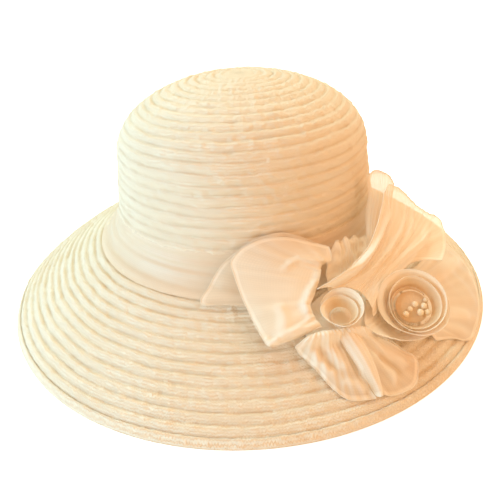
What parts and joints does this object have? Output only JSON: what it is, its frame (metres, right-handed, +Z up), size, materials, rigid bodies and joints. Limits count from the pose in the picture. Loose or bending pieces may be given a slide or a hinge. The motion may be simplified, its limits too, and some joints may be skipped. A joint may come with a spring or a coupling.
{
  "type": "wedding hat",
  "caption": "Wide-brimmed dress hat of sewn braid with a domed crown, a sheer band and an organza flower with coiled roses and pearls on one side.",
  "frame": {"origin": "middle of the brim's edge, in the plane that the hat stands on", "axes": "+Z up through the crown, -Y towards the wearer's front, +X towards the wearer's left"},
  "size_m": [0.335, 0.3486, 0.1452],
  "materials": {
    "braid": "sewn braid, matt",
    "organza": "sheer with a soft sheen",
    "pearl": "pearl coat"
  },
  "bodies": {
    "root": {"crown": "braid", "brim": "braid", "hat_band": "organza", "flower_knot": "organza", "petal_left_back": "organza", "petal_left_front": "organza", "petal_lower_left": "organza", "petal_lower_right": "organza", "petal_rolled": "organza", "petal_right": "organza", "petal_under_rose": "organza", "petal_back": "organza", "petal_upper": "organza", "petal_tuft": "organza", "rosette": "organza", "rose": "organza", "rose_heart": "organza", "pearl_1": "pearl", "pearl_2": "pearl", "pearl_3": "pearl", "pearl_4": "pearl", "pearl_5": "pearl", "pearl_6": "pearl", "pearl_7": "pearl"}
  },
  "joints": []
}
